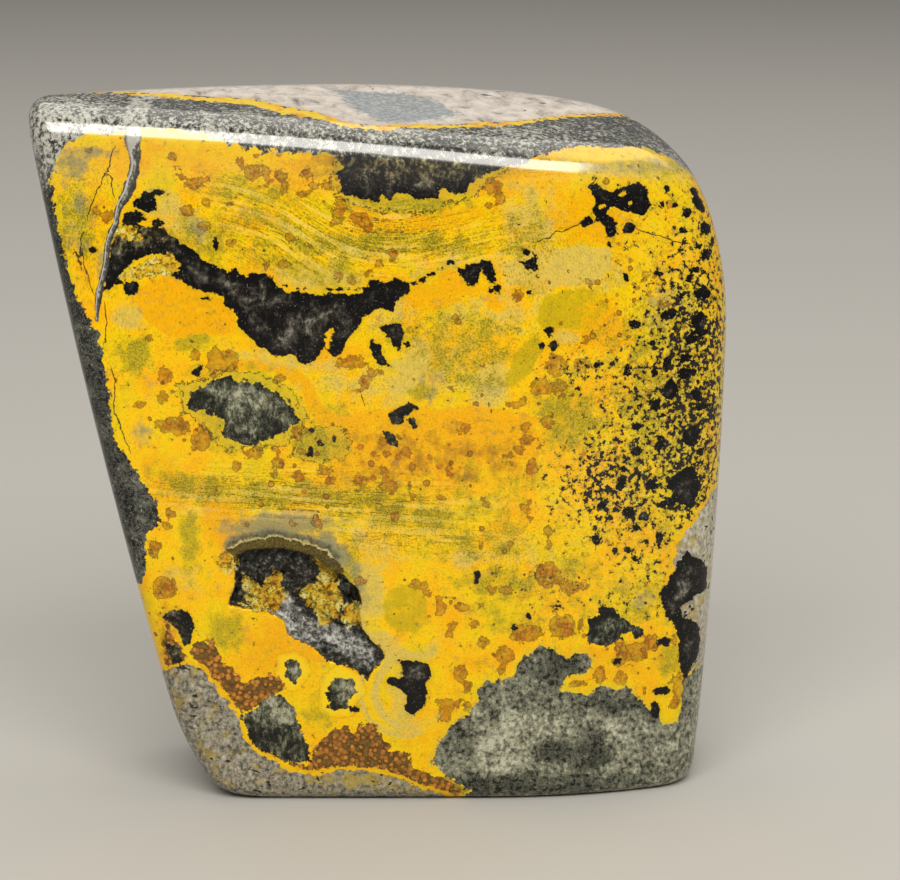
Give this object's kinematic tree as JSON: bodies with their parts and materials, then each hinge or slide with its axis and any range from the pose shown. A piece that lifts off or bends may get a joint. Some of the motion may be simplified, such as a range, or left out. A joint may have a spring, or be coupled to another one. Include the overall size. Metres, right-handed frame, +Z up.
{
  "type": "bumblebee jasper freeform",
  "caption": "Upright polished freeform of bumblebee jasper with a flat base, a leaning left side, a rounded shoulder and a shallow natural hollow in its broad face.",
  "frame": {"origin": "on the plane of the flat base, under the middle of the stone's bounding box", "axes": "+Z up, +X to the right and -Y towards the viewer of the broad polished face that holds the hollow; +Y runs from that face to the back"},
  "size_m": [0.1078, 0.0449, 0.109],
  "materials": {
    "banded_stone": "polished"
  },
  "bodies": {
    "root": {"polished_stone": "banded_stone"}
  },
  "joints": []
}
